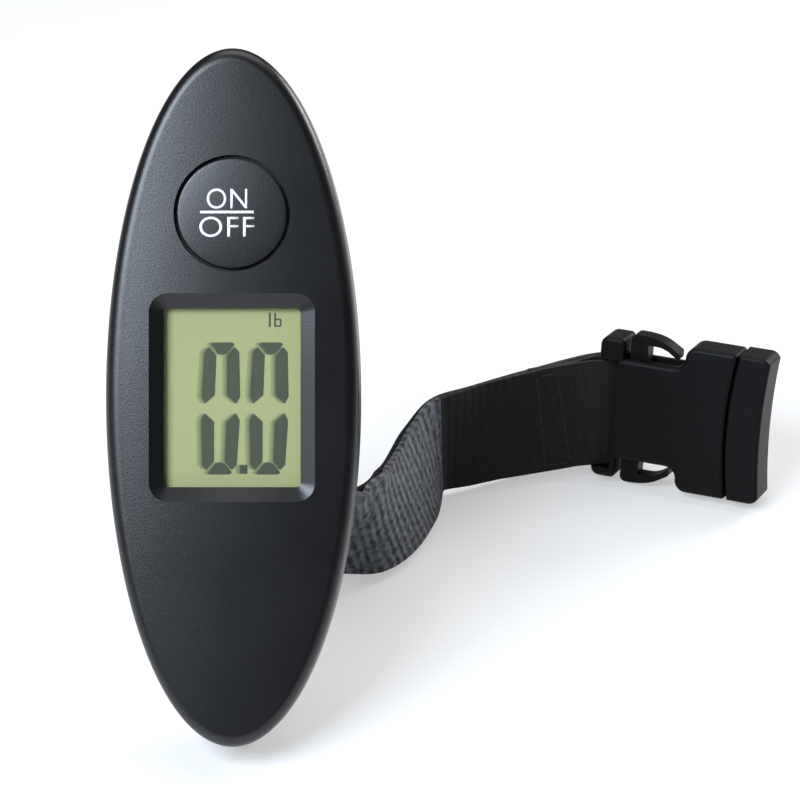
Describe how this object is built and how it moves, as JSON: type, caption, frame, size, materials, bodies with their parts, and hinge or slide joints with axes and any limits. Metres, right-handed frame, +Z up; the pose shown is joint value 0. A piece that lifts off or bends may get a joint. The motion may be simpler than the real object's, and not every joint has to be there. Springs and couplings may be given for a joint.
{
  "type": "luggage scale",
  "caption": "Hand-held digital luggage scale: an elliptical casing with a display and a push button, and a webbing loop with a side-release buckle at its back.",
  "frame": {"origin": "centre of the bounding box's bottom, on the floor that the part rests on", "axes": "+X to the right along the strap and buckle, +Y from the display's side to the back, +Z up"},
  "size_m": [0.149, 0.1341, 0.1315],
  "materials": {
    "casing": "satin",
    "lens": "clear and polished",
    "display": "grey-green liquid crystal",
    "holder": "moulded",
    "zebra": "conductive rubber",
    "board": "solder mask",
    "epoxy": "matt black",
    "steel": "bright",
    "grey_button": "satin",
    "gauge": "foil on film",
    "wire": "insulated",
    "brass": "plated spring",
    "webbing": "ribbed weave",
    "buckle": "satin"
  },
  "bodies": {
    "housing": {"front_shell": "casing", "rear_shell": "casing", "display_lens": "lens", "lcd_panel": "display", "lcd_holder": "holder", "zebra_strips": "zebra", "circuit_board": "board", "chip_cover": "epoxy", "board_screws": "steel", "on_off_switch": "steel", "unit_switch": "steel", "load_cell": "steel", "strain_gauges": "gauge", "gauge_wires": "wire", "load_cell_screws": "steel", "yoke": "steel", "yoke_nut": "steel", "strap_pin": "steel", "coin_cell": "steel", "negative_contact": "brass", "positive_contact": "brass", "battery_wires": "wire", "case_screws": "steel"},
    "on_off_button": {"on_off_button": "casing", "on_off_plunger": "epoxy"},
    "unit_button": {"unit_button": "grey_button", "unit_plunger": "epoxy"},
    "battery_cover": {"battery_cover": "casing"},
    "strap": {"strap_front_run": "webbing", "strap_return_run": "webbing", "buckle_socket": "buckle"},
    "buckle_plug": {"buckle_plug": "buckle"},
    "upper_arm": {"buckle_arm_upper": "buckle"},
    "lower_arm": {"buckle_arm_lower": "buckle"}
  },
  "joints": [
    {"name": "on_off_press", "type": "slide", "parent": "housing", "child": "on_off_button", "axis": [0, 0.866, -0.5], "range_m": [0, 0.0006], "stiffness_N_per_m": 4000},
    {"name": "unit_press", "type": "slide", "parent": "housing", "child": "unit_button", "axis": [0, -0.866, 0.5], "range_m": [0, 0.0005], "stiffness_N_per_m": 4000},
    {"name": "battery_cover_turn", "type": "hinge", "parent": "housing", "child": "battery_cover", "pos_m": [-0.048, -0.04675, 0.02478], "axis": [0, -0.7986, 0.6018], "range_deg": [0, 45]},
    {"name": "strap_swing", "type": "hinge", "parent": "housing", "child": "strap", "pos_m": [-0.048, -0.00592, 0.0549], "axis": [0, 0.5, 0.866], "range_deg": [-25, 60]},
    {"name": "plug_slide", "type": "slide", "parent": "strap", "child": "buckle_plug", "axis": [0.9331, -0.359, 0.0207], "range_m": [0, 0.03], "deforming": ["strap_return_run", "buckle_arm_upper", "buckle_arm_lower"]},
    {"name": "upper_arm_squeeze", "type": "hinge", "parent": "buckle_plug", "child": "upper_arm", "pos_m": [0.06264, 0.0487, 0.02806], "axis": [-0.3535, -0.9049, 0.2371], "range_deg": [0, 11], "stiffness_Nm_per_rad": 1.2},
    {"name": "lower_arm_squeeze", "type": "hinge", "parent": "buckle_plug", "child": "lower_arm", "pos_m": [0.06132, 0.04413, 0.00864], "axis": [0.3535, 0.9049, -0.2371], "range_deg": [0, 11], "stiffness_Nm_per_rad": 1.2}
  ]
}
